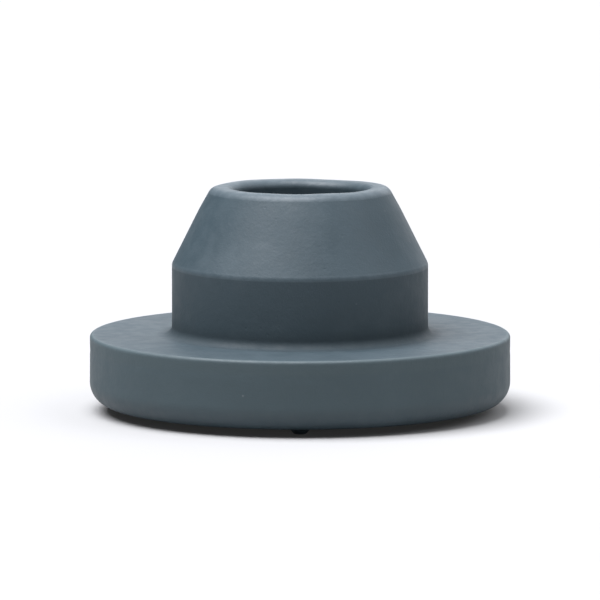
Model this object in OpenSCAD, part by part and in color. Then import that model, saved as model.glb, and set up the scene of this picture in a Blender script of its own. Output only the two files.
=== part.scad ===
// Rubber stopper for a small crimp-top vial.
// One moulding: a round flange with a raised target ring and four raised
// radial bars on its outer face, and a hollow plug with a tapered tip.
// It stands on the marked face, with the plug pointing up along +Z.
// The origin is on the plug's axis, in the plane of the tops of the marks.

/* [Flange] */
// Outside diameter of the flange
flange_d = 12.5; // [11.6:0.1:13.4]
// Thickness of the flange, without the raised marks
flange_t = 2.1; // [1.7:0.05:2.6]
// Radius that rounds the edge of the marked face
face_round = 0.7; // [0.3:0.05:0.85]
// Radius of the rim on the plug side
rim_round = 0.1; // [0.04:0.02:0.3]

/* [Plug] */
// Diameter of the straight part of the plug
plug_d = 7.6; // [7.2:0.05:8]
// Height of the straight part above the flange
straight_h = 2.1; // [1.6:0.05:2.8]
// Height of the tapered tip
tip_h = 2.35; // [1.8:0.05:2.8]
// Diameter of the tip at the mouth
tip_d = 5.25; // [5:0.05:5.8]
// Fillet between the plug and the flange
root_fillet = 0.25; // [0.1:0.05:0.5]
// Radius of the break between the straight part and the taper
break_round = 0.3; // [0.1:0.05:0.5]
// Radius of the outer edge of the lip round the mouth
lip_round = 0.3; // [0.1:0.02:0.4]

/* [Bore] */
// Diameter of the blind bore
bore_d = 4; // [3.6:0.05:4.3]
// Depth of the bore from the mouth
bore_depth = 4.2; // [2.5:0.1:4.6]
// Fillet round the floor of the bore
floor_round = 0.6; // [0.2:0.05:1]
// Radius of the edge where the bore opens in the lip
mouth_round = 0.24; // [0.06:0.02:0.3]

/* [Marks] */
// Height of the raised ring and bars
mark_h = 0.2; // [0.1:0.01:0.3]
// Diameter of the ring's centre line
ring_d = 2.9; // [2.5:0.05:3.3]
// Width of the ring and the bars at their foot
mark_w = 0.7; // [0.5:0.02:0.8]
// Width of their flat top, before its edges are rounded
top_w = 0.36; // [0.26:0.02:0.44]
// Radius of the edges of their top
top_round = 0.08; // [0.02:0.01:0.1]
// Number of bars
bars = 4; // [3:1:6]
// Distance from the axis to the inner end of each bar
bar_from = 2.2; // [2.1:0.05:2.8]
// Distance from the axis to the outer end of each bar
bar_to = 5.35; // [4.4:0.05:5.5]

/* [Colour] */
// Colour of the rubber
rubber = "SlateGray"; // [SlateGray, DimGray, LightSlateGray]

/* [Hidden] */
$fn = 128;

flange_r = flange_d / 2;
plug_r = plug_d / 2;
tip_r = tip_d / 2;
bore_r = bore_d / 2;

z_face = mark_h;               // the flange's marked face
z_seat = z_face + flange_t;    // the flange's plug side
z_break = z_seat + straight_h; // where the taper starts
z_mouth = z_break + tip_h;     // the top of the lip
z_floor = z_mouth - bore_depth;

taper = atan((plug_r - tip_r) / tip_h);        // from the axis, in degrees
break_len = break_round * tan(taper / 2);      // corner to tangent point
lip_len = lip_round * tan((90 - taper) / 2);   // corner to tangent point

// A sloping side starts and ends this far inside the rounds it runs into,
// so that it always meets them cleanly.
hair = 0.00002;

// Half section of the flange: a disc with a large round on its marked
// face and a small one on the plug side.
module flange_section() {
    translate([0, z_face])
        square([flange_r - face_round, flange_t]);
    translate([0, z_face + face_round])
        square([flange_r, flange_t - face_round - rim_round]);
    translate([flange_r - face_round, z_face + face_round])
        circle(face_round);
    translate([0, z_face + face_round])
        square([flange_r - rim_round, flange_t - face_round]);
    translate([flange_r - rim_round, z_seat - rim_round])
        circle(rim_round);
}

// Half section of the plug before it is bored: straight, then tapered,
// with its break and the outer edge of its lip rounded.
module plug_section() {
    out = [cos(taper), sin(taper)];   // square to the slope
    break_mid = [plug_r - break_round, z_break - break_len];
    lip_mid = [tip_r - lip_len, z_mouth - lip_round];
    polygon([
        [0, z_seat - 0.5],
        [plug_r, z_seat - 0.5],
        [plug_r, break_mid.y],
        break_mid + (break_round - hair) * out,
        lip_mid + (lip_round - hair) * out,
        [lip_mid.x, z_mouth],
        [0, z_mouth]
    ]);
    translate(break_mid)
        circle(break_round);
    translate(lip_mid)
        circle(lip_round);
}

// Concave fillet where the plug meets the flange.
module root_section() {
    difference() {
        translate([plug_r - 0.5, z_seat - 0.5])
            square(0.5 + root_fillet);
        translate([plug_r + root_fillet, z_seat + root_fillet])
            circle(root_fillet);
    }
}

// Half section of the blind bore, with a rounded floor.
module bore_section() {
    translate([0, z_floor + floor_round])
        square([bore_r, bore_depth - floor_round + 1]);
    translate([0, z_floor])
        square([bore_r - floor_round, floor_round + 0.5]);
    translate([bore_r - floor_round, z_floor + floor_round])
        circle(floor_round);
}

// What the rounded inner edge of the mouth takes away.
module mouth_section() {
    difference() {
        translate([bore_r - 0.5, z_mouth - mouth_round])
            square([0.5 + mouth_round, mouth_round + 0.5]);
        translate([bore_r + mouth_round, z_mouth - mouth_round])
            circle(mouth_round);
    }
}

// Section of a raised mark, centred on x = 0, its top at y = 0, with
// sloping sides, rounded top edges and a foot sunk in the face.
module mark_section() {
    slope = atan((mark_w - top_w) / 2 / mark_h);   // from the vertical
    len = top_round * tan((90 - slope) / 2);
    mid = top_w / 2 - len;
    side_x = mid + (top_round - hair) * cos(slope);
    side_y = top_round - (top_round - hair) * sin(slope);
    foot = mark_w / 2 + 0.1 * tan(slope);
    polygon([
        [-foot, mark_h + 0.1],
        [-side_x, side_y],
        [-mid, 0],
        [mid, 0],
        [side_x, side_y],
        [foot, mark_h + 0.1]
    ]);
    for (s = [-1, 1])
        translate([s * mid, top_round])
            circle(top_round);
}

// Right half of that section, for the round ends of the bars.
module mark_half() {
    intersection() {
        mark_section();
        square([mark_w, mark_w]);
    }
}

// Raised ring round the target area.
module target_ring() {
    rotate_extrude()
        translate([ring_d / 2, 0])
            mark_section();
}

// One raised bar along +X, with round ends.
module bar() {
    inner = bar_from + mark_w / 2;
    outer = bar_to - mark_w / 2;
    translate([inner, 0, 0])
        rotate([90, 0, 90])
            linear_extrude(outer - inner)
                mark_section();
    for (x = [inner, outer])
        translate([x, 0, 0])
            rotate_extrude()
                mark_half();
}

module stopper() {
    color(rubber)
    union() {
        rotate_extrude()
            difference() {
                union() {
                    flange_section();
                    plug_section();
                    root_section();
                }
                bore_section();
                mouth_section();
            }
        target_ring();
        for (i = [0 : bars - 1])
            rotate([0, 0, i * 360 / bars])
                bar();
    }
}

stopper();
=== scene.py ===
"""Rubber stopper for a small crimp-top vial: the looks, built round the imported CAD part."""

import math

import bmesh
import bpy
import numpy as np
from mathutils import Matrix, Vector
from mathutils.geometry import delaunay_2d_cdt


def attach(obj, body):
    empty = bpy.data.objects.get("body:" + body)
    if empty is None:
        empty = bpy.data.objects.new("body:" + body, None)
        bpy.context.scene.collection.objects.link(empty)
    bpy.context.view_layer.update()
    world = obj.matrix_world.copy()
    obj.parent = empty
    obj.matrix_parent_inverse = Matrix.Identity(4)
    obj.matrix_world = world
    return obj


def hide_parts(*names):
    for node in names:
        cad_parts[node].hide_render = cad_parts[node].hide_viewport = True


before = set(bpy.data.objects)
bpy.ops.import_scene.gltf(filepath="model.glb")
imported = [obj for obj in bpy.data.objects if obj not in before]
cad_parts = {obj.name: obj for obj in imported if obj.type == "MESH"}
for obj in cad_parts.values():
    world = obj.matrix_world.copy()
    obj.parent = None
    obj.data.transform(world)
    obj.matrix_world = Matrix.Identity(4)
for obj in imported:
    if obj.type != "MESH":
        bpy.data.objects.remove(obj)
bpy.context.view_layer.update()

# ---------------------------------------------------------------- sizes, mm
FLANGE_R = 6.25
FLANGE_T = 2.1
FACE_ROUND = 0.7
RIM_ROUND = 0.1
PLUG_R = 3.8
STRAIGHT_H = 2.1
TIP_H = 2.35
TIP_R = 2.625
ROOT_FILLET = 0.25
BREAK_ROUND = 0.3
LIP_ROUND = 0.3
MOUTH_ROUND = 0.24
BORE_R = 2.0
BORE_DEPTH = 4.2
FLOOR_ROUND = 0.6
MARK_H = 0.2
RING_R = 1.45
MARK_W = 0.7
TOP_W = 0.36
TOP_ROUND = 0.08
FOOT_ROUND = 0.08
BARS = 4
BAR_FROM = 2.2
BAR_TO = 5.35

Z_FACE = MARK_H
Z_SEAT = Z_FACE + FLANGE_T
Z_BREAK = Z_SEAT + STRAIGHT_H
Z_MOUTH = Z_BREAK + TIP_H
Z_FLOOR = Z_MOUTH - BORE_DEPTH
TAPER = math.atan((PLUG_R - TIP_R) / TIP_H)
BREAK_LEN = BREAK_ROUND * math.tan(TAPER / 2)
LIP_LEN = LIP_ROUND * math.tan((math.pi / 2 - TAPER) / 2)

AROUND = 384  # segments round the body
RING_AROUND = 192  # segments round the raised ring


# ------------------------------------------------------------------ section
def arc(cx, cz, r, start, end, n):
    """n + 1 points along an arc, angles in degrees."""
    return [
        (cx + r * math.cos(math.radians(a)), cz + r * math.sin(math.radians(a)))
        for a in np.linspace(start, end, n + 1)
    ]


def straight(a, b, n, hold=0.0):
    """Points between a and b, without a and b. hold adds one point that far from each end."""
    a, b = np.array(a, float), np.array(b, float)
    length = np.linalg.norm(b - a)
    ts = list(np.linspace(0, 1, n + 1)[1:-1])
    if hold and length > 4 * hold:
        ts = [t for t in ts if hold / length * 1.5 < t < 1 - hold / length * 1.5]
        ts = [hold / length] + ts + [1 - hold / length]
    return [tuple(a + (b - a) * t) for t in ts]


def body_section():
    """The turned section from the flat of the marked face, round the outside, over the lip and down the bore to its floor. Each point is (r, z, zone)."""
    taper = math.degrees(TAPER)
    runs = [
        ("face_round", arc(FLANGE_R - FACE_ROUND, Z_FACE + FACE_ROUND, FACE_ROUND, -90, 0, 18)),
        ("side", (10, 0.03)),
        ("rim", arc(FLANGE_R - RIM_ROUND, Z_SEAT - RIM_ROUND, RIM_ROUND, 0, 90, 8)),
        ("seat", (20, 0.03)),
        ("root", arc(PLUG_R + ROOT_FILLET, Z_SEAT + ROOT_FILLET, ROOT_FILLET, 270, 180, 10)),
        ("wall", (16, 0.03)),
        ("break", arc(PLUG_R - BREAK_ROUND, Z_BREAK - BREAK_LEN, BREAK_ROUND, 0, taper, 6)),
        ("cone", (18, 0.03)),
        ("lip_out", arc(TIP_R - LIP_LEN, Z_MOUTH - LIP_ROUND, LIP_ROUND, taper, 90, 12)),
        ("lip", (2, 0.0)),
        ("lip_in", arc(BORE_R + MOUTH_ROUND, Z_MOUTH - MOUTH_ROUND, MOUTH_ROUND, 90, 180, 10)),
        ("bore", (22, 0.03)),
        ("floor_round", arc(BORE_R - FLOOR_ROUND, Z_FLOOR + FLOOR_ROUND, FLOOR_ROUND, 0, -90, 12)),
    ]
    out = []
    for i, (zone, run) in enumerate(runs):
        if isinstance(run, tuple):
            n, hold = run
            a, b = runs[i - 1][1][-1], runs[i + 1][1][0]
            run = straight(a, b, n, hold)
        for r, z in run:
            out.append((r, z, zone))
    for r in np.linspace(BORE_R - FLOOR_ROUND, 0, 8)[1:-1]:
        out.append((r, Z_FLOOR, "floor"))
    return out


def mark_section():
    """Half section of a raised mark: (distance from its centre line, z), from the flat top down to where its foot runs out on the face."""
    a, b = TOP_W / 2, MARK_W / 2
    slope = math.atan((b - a) / MARK_H)
    top_len = TOP_ROUND * math.tan((math.pi / 2 - slope) / 2)
    foot_len = FOOT_ROUND * math.tan((math.pi / 2 - slope) / 2)
    s = math.degrees(slope)
    top = arc(a - top_len, TOP_ROUND, TOP_ROUND, -90, -s, 5)
    foot = arc(b + foot_len, MARK_H - FOOT_ROUND, FOOT_ROUND, 180 - s, 90, 6)
    return top + straight(top[-1], foot[0], 4) + foot


# -------------------------------------------------------------- small waves
def wave(theta, seed, orders):
    """A smooth closed wave round the axis, between about -1 and 1."""
    rng = np.random.RandomState(seed)
    total = np.zeros_like(theta)
    norm = 0.0
    for k in orders:
        amp = rng.uniform(0.5, 1.0) / math.sqrt(k)
        total += amp * np.sin(k * theta + rng.uniform(0, 2 * math.pi))
        norm += amp * amp / 2
    return np.clip(total / (2.2 * math.sqrt(norm)), -1, 1)


def step(x, lo, hi):
    t = np.clip((x - lo) / (hi - lo), 0, 1)
    return t * t * (3 - 2 * t)


def build_stopper():
    """The whole moulding as one closed mesh, in mm."""
    verts, faces = [], []
    edge, painted_shade, trim_and_floor_light = [], [], []

    def add(points, e=0.0, c=0.0, t=0.0):
        start = len(verts)
        verts.extend(points)
        n = len(points)
        edge.extend(np.broadcast_to(e, (n,)))
        painted_shade.extend(np.broadcast_to(c, (n,)))
        trim_and_floor_light.extend(np.broadcast_to(t, (n,)))
        return list(range(start, start + n))

    # the turned body
    theta = np.arange(AROUND) * 2 * math.pi / AROUND
    cos, sin = np.cos(theta), np.sin(theta)
    rim_wave = 0.5 + 0.5 * wave(theta, 3, (2, 3, 5, 8, 13))
    cut_wave = wave(theta, 11, (3, 4, 7, 11, 17, 23))
    lip_wave = 0.5 + 0.5 * wave(theta, 7, (2, 3, 4, 7, 9))
    section = body_section()
    rings = []
    for r, z, zone in section:
        rr = np.full(AROUND, float(r))
        zz = np.full(AROUND, float(z))
        up = (z - Z_FACE) / FLANGE_T  # 0 on the marked face, 1 on the plug side
        if zone in ("face_round", "side", "rim"):
            # the trimmed edge is never a perfect circle
            grow = float(step(up, 0.15, 0.6))
            rr = rr - (0.006 * float(step(up, 0.0, 0.3)) + 0.018 * grow * rim_wave) * min(1.0, r / FLANGE_R)
            # a faint step where the moulded side meets the trimmed band
            line = 0.80 + 0.035 * cut_wave
            rr = rr - 0.012 * step(-np.abs(up - line), -0.06, 0.0)
        if zone in ("cone", "lip_out", "lip", "lip_in", "bore"):
            # the lip isn't quite level: a little lower at the back, and wavy
            grow = float(step(z, Z_MOUTH - 0.8, Z_MOUTH))
            zz = zz - grow * (0.03 * lip_wave + 0.1 * (0.5 + 0.5 * sin))
        # paler edges: partly rubbed wear, partly a painted highlight, most of all on the lip, where a sheen catches
        e = {
            "rim": 0.8,
            "break": 0.5,
            "lip_out": 0.95,
            "lip": 0.9,
            "lip_in": 0.7,
        }.get(zone, 0.0)
        if zone == "face_round":
            e = 0.35 * math.sin(math.pi * min(1.0, up / (FACE_ROUND / FLANGE_T)))
        # painted shade at the bottom of the bore
        c = {"floor_round": 1.0, "floor": 0.8}.get(zone, 0.0)
        if zone in ("seat", "root", "wall"):
            # painted shade in the corner, fading out along the face and up the wall
            c = math.exp(-(((r - PLUG_R) / 0.42) ** 2) - ((z - Z_SEAT) / 0.6) ** 2)
        if zone in ("rim", "seat"):
            # painted shade: the seat is a little darker than the tip of the flange
            c = max(c, 0.3 * float(step(FLANGE_R - r, 0.0, 0.25)))
        if zone in ("root", "wall"):
            # painted shade: the plug's straight wall made darker
            c = max(c, 0.4 * float(step(z, Z_SEAT, Z_SEAT + 0.3) * (1 - step(z, Z_BREAK - 0.12, Z_BREAK))))
        # painted shade deepening down the bore
        if zone == "bore":
            c = 0.6 * (Z_MOUTH - z) / BORE_DEPTH
        t = np.zeros(AROUND)
        if zone in ("side", "rim", "face_round"):
            # the whole edge is trimmed, the band next to the plug side most of all; its paler tone over the whole side
            # is partly painted light, as if lit from the floor below
            t = 0.7 * float(step(up, 0.05, 0.3)) + 0.3 * step(np.full(AROUND, up) - (0.80 + 0.035 * cut_wave), -0.02, 0.03)
        rings.append(add(list(zip(rr * cos, rr * sin, zz)), e, c, t))
    for a, b in zip(rings, rings[1:]):
        for i in range(AROUND):
            j = (i + 1) % AROUND
            faces.append((a[i], a[j], b[j], b[i]))
    # the middle of the bore's floor gets painted shade too
    hub = add([(0.0, 0.0, Z_FLOOR)], 0, 0.8)[0]
    last = rings[-1]
    for i in range(AROUND):
        faces.append((last[i], last[(i + 1) % AROUND], hub))
    outer = rings[0]

    # the raised marks
    half = mark_section()
    peak = np.array([0.5 * (1 - step(z, 0.0, 0.06)) for _, z in half])
    # painted shade on the marks' flanks near their feet
    foot_shade = np.array([0.35 * step(z, 0.08, MARK_H) * (1 - step(d, MARK_W / 2, half[-1][0])) for d, z in half])

    t_ring = np.arange(RING_AROUND) * 2 * math.pi / RING_AROUND
    across = [(-d, z, p, s) for (d, z), p, s in zip(half, peak, foot_shade)][::-1]
    across += [(d, z, p, s) for (d, z), p, s in zip(half, peak, foot_shade)]
    contours = []
    for d, z, p, s in across:
        r = RING_R + d
        contours.append(
            add([(r * math.cos(t), r * math.sin(t), z) for t in t_ring], p, s)
        )
    for a, b in zip(contours, contours[1:]):
        for i in range(RING_AROUND):
            j = (i + 1) % RING_AROUND
            faces.append((a[i], a[j], b[j], b[i]))
    ring_in, ring_out = contours[0], contours[-1]

    inner_x, outer_x = BAR_FROM + MARK_W / 2, BAR_TO - MARK_W / 2

    def outline(d):
        """Points at the distance d round a bar's centre line, anticlockwise from above."""
        points = [(inner_x + (outer_x - inner_x) * t, -d) for t in np.linspace(0, 1, 37)]
        points += [
            (outer_x + d * math.sin(a), -d * math.cos(a)) for a in np.linspace(0, math.pi, 17)[1:-1]
        ]
        points += [(outer_x - (outer_x - inner_x) * t, d) for t in np.linspace(0, 1, 37)]
        points += [
            (inner_x - d * math.sin(a), d * math.cos(a)) for a in np.linspace(0, math.pi, 17)[1:-1]
        ]
        return points

    bar_rings = []
    for k in range(BARS):
        turn = 2 * math.pi * k / BARS
        ct, st = math.cos(turn), math.sin(turn)
        contours = []
        for (d, z), p, s in zip(half, peak, foot_shade):
            contours.append(
                add([(x * ct - y * st, x * st + y * ct, z) for x, y in outline(d)], p, s)
            )
        for a, b in zip(contours, contours[1:]):
            n = len(a)
            for i in range(n):
                j = (i + 1) % n
                faces.append((a[i], a[j], b[j], b[i]))
        bar_rings.append((contours[-1], contours[0]))

    # flat areas, filled between the outlines
    def fill(loops, inside, z, spacing, e=0.0, c=0.0):
        """Triangles over a flat area between loops of existing points."""
        ids = [i for loop in loops for i in loop]
        flat = [Vector(verts[i][:2]) for i in ids]
        edges, at = [], 0
        for loop in loops:
            n = len(loop)
            edges += [(at + i, at + (i + 1) % n) for i in range(n)]
            at += n
        xs = np.array([p.x for p in flat])
        ys = np.array([p.y for p in flat])
        if spacing:
            rng = np.random.RandomState(5)
            span = np.arange(-FLANGE_R, FLANGE_R, spacing)
            for gx in span:
                for gy in span:
                    p = np.array([gx, gy]) + rng.uniform(-0.2, 0.2, 2) * spacing
                    if inside(p[0], p[1]) and np.min((xs - p[0]) ** 2 + (ys - p[1]) ** 2) > (0.45 * spacing) ** 2:
                        flat.append(Vector(p))
                        ids.append(add([(p[0], p[1], z)], e, c)[0])
        co, _, tris, origin, _, _ = delaunay_2d_cdt(flat, edges, [], 0, 1e-6)
        for tri in tris:
            mid = sum((co[i] for i in tri), Vector((0, 0))) / 3
            if inside(mid.x, mid.y):
                faces.append(tuple(ids[origin[i][0]] for i in tri))

    def bar_distance(x, y):
        best = 1e9
        for k in range(BARS):
            turn = -2 * math.pi * k / BARS
            u = x * math.cos(turn) - y * math.sin(turn)
            v = x * math.sin(turn) + y * math.cos(turn)
            best = min(best, math.hypot(u - min(max(u, inner_x), outer_x), v))
        return best

    foot = half[-1][0]
    top = half[0][0]
    fill(
        [outer, ring_out] + [b[0] for b in bar_rings],
        lambda x, y: RING_R + foot < math.hypot(x, y) < FLANGE_R - FACE_ROUND and bar_distance(x, y) > foot,
        Z_FACE,
        0.22,
    )
    fill([ring_in], lambda x, y: math.hypot(x, y) < RING_R - foot, Z_FACE, 0.2)
    for k, (_, crest) in enumerate(bar_rings):
        fill([crest], lambda x, y: bar_distance(x, y) < top, 0.0, 0.0, e=0.5)

    mesh = bpy.data.meshes.new("stopper_moulding")
    mesh.from_pydata([tuple(float(c) for c in v) for v in verts], [], faces)
    for name, values in (("edge", edge), ("painted_shade", painted_shade), ("trim_and_floor_light", trim_and_floor_light)):
        attribute = mesh.attributes.new(name, "FLOAT", "POINT")
        attribute.data.foreach_set("value", np.array(values, np.float32))
    bm = bmesh.new()
    bm.from_mesh(mesh)
    bmesh.ops.remove_doubles(bm, verts=bm.verts, dist=1e-4)
    bmesh.ops.dissolve_degenerate(bm, edges=bm.edges, dist=1e-6)
    bmesh.ops.recalc_face_normals(bm, faces=bm.faces)
    for f in bm.faces:
        f.smooth = True
    bm.to_mesh(mesh)
    bm.free()
    return mesh


mesh = build_stopper()
co = np.zeros(len(mesh.vertices) * 3)
mesh.vertices.foreach_get("co", co)
mesh.vertices.foreach_set("co", co * 0.001)
mesh.update()
stopper = bpy.data.objects.new("stopper_rubber", mesh)
bpy.context.scene.collection.objects.link(stopper)
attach(stopper, "root")
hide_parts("stopper")


# ---------------------------------------------------------------- material
def rubber():
    mat = bpy.data.materials.new("butyl_rubber")
    mat.use_nodes = True
    nt = mat.node_tree
    nt.nodes.clear()
    link = nt.links.new

    def node(kind, **values):
        n = nt.nodes.new(kind)
        for k, v in values.items():
            setattr(n, k, v)
        return n

    out = node("ShaderNodeOutputMaterial")
    bsdf = node("ShaderNodeBsdfPrincipled")
    link(bsdf.outputs[0], out.inputs[0])
    bsdf.inputs["Specular IOR Level"].default_value = 0.5
    bsdf.inputs["IOR"].default_value = 1.5
    bsdf.inputs["Metallic"].default_value = 0.0

    where = node("ShaderNodeTexCoord")

    def noise(scale, detail=2.0, rough=0.5, seed=0.0, kind="FBM"):
        """Noise whose features are about scale mm across."""
        m = node("ShaderNodeMapping")
        m.inputs["Location"].default_value = (seed, seed * 0.7, seed * 1.3)
        m.inputs["Scale"].default_value = (1000 / scale,) * 3
        link(where.outputs["Object"], m.inputs["Vector"])
        t = node("ShaderNodeTexNoise", noise_dimensions="3D", noise_type=kind)
        t.inputs["Scale"].default_value = 1.0
        t.inputs["Detail"].default_value = detail
        t.inputs["Roughness"].default_value = rough
        link(m.outputs[0], t.inputs["Vector"])
        return t.outputs["Fac"]

    def ramp(source, a, b, lo=0.0, hi=1.0):
        r = node("ShaderNodeMapRange", interpolation_type="SMOOTHSTEP")
        r.inputs["From Min"].default_value = a
        r.inputs["From Max"].default_value = b
        r.inputs["To Min"].default_value = lo
        r.inputs["To Max"].default_value = hi
        link(source, r.inputs["Value"])
        return r.outputs["Result"]

    def maths(op, a, b=None, c=None):
        m = node("ShaderNodeMath", operation=op)
        for i, v in enumerate((a, b, c)):
            if v is None:
                continue
            if isinstance(v, (int, float)):
                m.inputs[i].default_value = v
            else:
                link(v, m.inputs[i])
        return m.outputs[0]

    def mix(fac, a, b, mode="MIX"):
        m = node("ShaderNodeMix", data_type="RGBA", blend_type=mode)
        for socket, v in (("Factor", fac), ("A", a), ("B", b)):
            s = [i for i in m.inputs if i.name == socket and i.enabled][0]
            if isinstance(v, (int, float)):
                s.default_value = v
            elif isinstance(v, tuple):
                s.default_value = (*v, 1.0)
            else:
                link(v, s)
        return [o for o in m.outputs if o.enabled][0]

    def attribute(name):
        return node("ShaderNodeAttribute", attribute_name=name).outputs["Fac"]

    edge, painted_shade, trim_and_floor_light = attribute("edge"), attribute("painted_shade"), attribute("trim_and_floor_light")

    # colour: slate blue-grey rubber, clouded, a little paler on the edges, partly where it rubs and partly as a painted
    # highlight
    cloud = noise(3.2, 3.0, 0.55, 1.0)
    colour = mix(ramp(cloud, 0.3, 0.7), (0.026, 0.046, 0.058), (0.033, 0.056, 0.070))
    mottle = noise(0.45, 3.0, 0.6, 2.0)
    colour = mix(ramp(mottle, 0.35, 0.68, 0.0, 0.35), colour, (0.040, 0.064, 0.079))
    # bloom and handling: a thin pale haze in patches
    haze = ramp(noise(1.5, 4.0, 0.65, 4.0), 0.48, 0.74, 0.0, 0.22)
    colour = mix(haze, colour, (0.074, 0.100, 0.116))
    # edges paler, broken up by fine noise: partly rubbed wear, partly a painted highlight, strongest on the lip
    rub_and_highlight = maths("MULTIPLY", edge, ramp(noise(0.3, 3.0, 0.55, 6.0), 0.3, 0.75, 0.22, 0.52))
    colour = mix(rub_and_highlight, colour, (0.097, 0.127, 0.147))
    # the trimmed band: its own greyer tone, plus painted light that makes the flange side paler, as if lit from the
    # floor below
    colour = mix(maths("MULTIPLY", trim_and_floor_light, 0.7), colour, (0.054, 0.080, 0.088))
    # painted shade: a little dark painted into the corners, the seat, the plug's wall, the bore and the marks' feet
    colour = mix(maths("MULTIPLY", painted_shade, 0.7), colour, (0.014, 0.026, 0.033))
    # sparse pale specks of filler and dust
    speck_at = node("ShaderNodeTexVoronoi", feature="F1", voronoi_dimensions="3D")
    speck_at.inputs["Scale"].default_value = 1000 / 0.55
    speck_at.inputs["Randomness"].default_value = 1.0
    link(where.outputs["Object"], speck_at.inputs["Vector"])
    speck = ramp(speck_at.outputs["Distance"], 0.035, 0.075, 1.0, 0.0)
    few = ramp(noise(1.1, 1.0, 0.5, 9.0), 0.56, 0.62)
    colour = mix(maths("MULTIPLY", maths("MULTIPLY", speck, few), 0.4), colour, (0.17, 0.19, 0.20))
    link(colour, bsdf.inputs["Base Color"])

    # roughness: matte, a touch smoother where it is handled
    rough = maths("ADD", ramp(mottle, 0.3, 0.7, 0.52, 0.62), maths("MULTIPLY", trim_and_floor_light, 0.07))
    rough = maths("ADD", rough, maths("MULTIPLY", painted_shade, 0.18))
    rough = maths("SUBTRACT", rough, maths("MULTIPLY", rub_and_highlight, 0.10))
    link(rough, bsdf.inputs["Roughness"])

    # relief: fine spark-eroded grain, soft sink waves, and drag lines on the cut
    fine = noise(0.075, 2.0, 0.6, 12.0)
    mid = noise(0.2, 3.0, 0.6, 14.0)
    slow = noise(1.3, 2.0, 0.5, 16.0)
    pits_at = node("ShaderNodeTexVoronoi", feature="F1", voronoi_dimensions="3D")
    pits_at.inputs["Scale"].default_value = 1000 / 0.38
    link(where.outputs["Object"], pits_at.inputs["Vector"])
    pits = ramp(pits_at.outputs["Distance"], 0.05, 0.13, -1.0, 0.0)
    pits = maths("MULTIPLY", pits, ramp(noise(0.9, 1.0, 0.5, 21.0), 0.5, 0.6))
    drag = node("ShaderNodeMapping")
    drag.inputs["Scale"].default_value = (1000 / 0.05, 1000 / 0.05, 1000 / 1.2)
    link(where.outputs["Object"], drag.inputs["Vector"])
    drag_noise = node("ShaderNodeTexNoise")
    drag_noise.inputs["Scale"].default_value = 1.0
    drag_noise.inputs["Detail"].default_value = 2.0
    link(drag.outputs[0], drag_noise.inputs["Vector"])
    height = maths("MULTIPLY", fine, 0.0035)
    height = maths("ADD", height, maths("MULTIPLY", mid, 0.0065))
    height = maths("ADD", height, maths("MULTIPLY", slow, 0.012))
    height = maths("ADD", height, maths("MULTIPLY", pits, 0.003))
    height = maths("ADD", height, maths("MULTIPLY", maths("MULTIPLY", drag_noise.outputs["Fac"], trim_and_floor_light), 0.003))
    bump = node("ShaderNodeBump")
    bump.inputs["Strength"].default_value = 1.0
    bump.inputs["Distance"].default_value = 0.001
    link(height, bump.inputs["Height"])
    link(bump.outputs[0], bsdf.inputs["Normal"])
    return mat


mesh.materials.append(rubber())

# ------------------------------------------------------- floor, light, camera
floor_mesh = bpy.data.meshes.new("floor")
floor_mesh.from_pydata([(-4, -4, 0), (4, -4, 0), (4, 4, 0), (-4, 4, 0)], [], [(0, 1, 2, 3)])
floor = bpy.data.objects.new("floor", floor_mesh)
bpy.context.scene.collection.objects.link(floor)
floor_mat = bpy.data.materials.new("pale_floor")
floor_mat.use_nodes = True
shader = floor_mat.node_tree.nodes["Principled BSDF"]
shader.inputs["Base Color"].default_value = (0.378, 0.378, 0.378, 1)
shader.inputs["Emission Color"].default_value = (1.0, 1.0, 1.0, 1)
shader.inputs["Emission Strength"].default_value = 0.018  # light scattered in the white sheet, which reaches under the edge
shader.inputs["Roughness"].default_value = 0.9
shader.inputs["Specular IOR Level"].default_value = 0.0
floor_mesh.materials.append(floor_mat)

world = bpy.data.worlds.new("white_room")
world.use_nodes = True
world.node_tree.nodes["Background"].inputs["Color"].default_value = (1.0, 1.0, 1.0, 1)
world.node_tree.nodes["Background"].inputs["Strength"].default_value = 0.08
bpy.context.scene.world = world


def sun(name, towards, strength, angle, colour=(0.985, 0.99, 1.03)):
    data = bpy.data.lights.new(name, "SUN")
    data.energy = strength
    data.angle = math.radians(angle)
    data.color = colour
    obj = bpy.data.objects.new(name, data)
    obj.rotation_euler = Vector(towards).to_track_quat("Z", "Y").to_euler()
    bpy.context.scene.collection.objects.link(obj)


sun("softbox_above", (-0.28, -0.10, 1.0), 2.25 * math.pi, 55)
sun("softbox_back", (0.3, 1.0, 0.65), 0.42 * math.pi, 60)
sun("softbox_right", (0.9, -0.1, 0.9), 0.34 * math.pi, 50)

centre = Vector((0, 0, 0.0033))
elevation = math.radians(7.4)
distance = 0.35
camera_data = bpy.data.cameras.new("camera")
camera_data.sensor_width = 36
camera_data.lens = 36 * distance / 0.0178
camera_data.clip_start = 0.01
camera_data.clip_end = 20
camera = bpy.data.objects.new("camera", camera_data)
camera.location = centre + distance * Vector((0, -math.cos(elevation), math.sin(elevation)))
camera.rotation_euler = (centre - camera.location).to_track_quat("-Z", "Y").to_euler()
bpy.context.scene.collection.objects.link(camera)
bpy.context.scene.camera = camera

bpy.context.scene.view_settings.view_transform = "Standard"
bpy.context.scene.view_settings.look = "None"
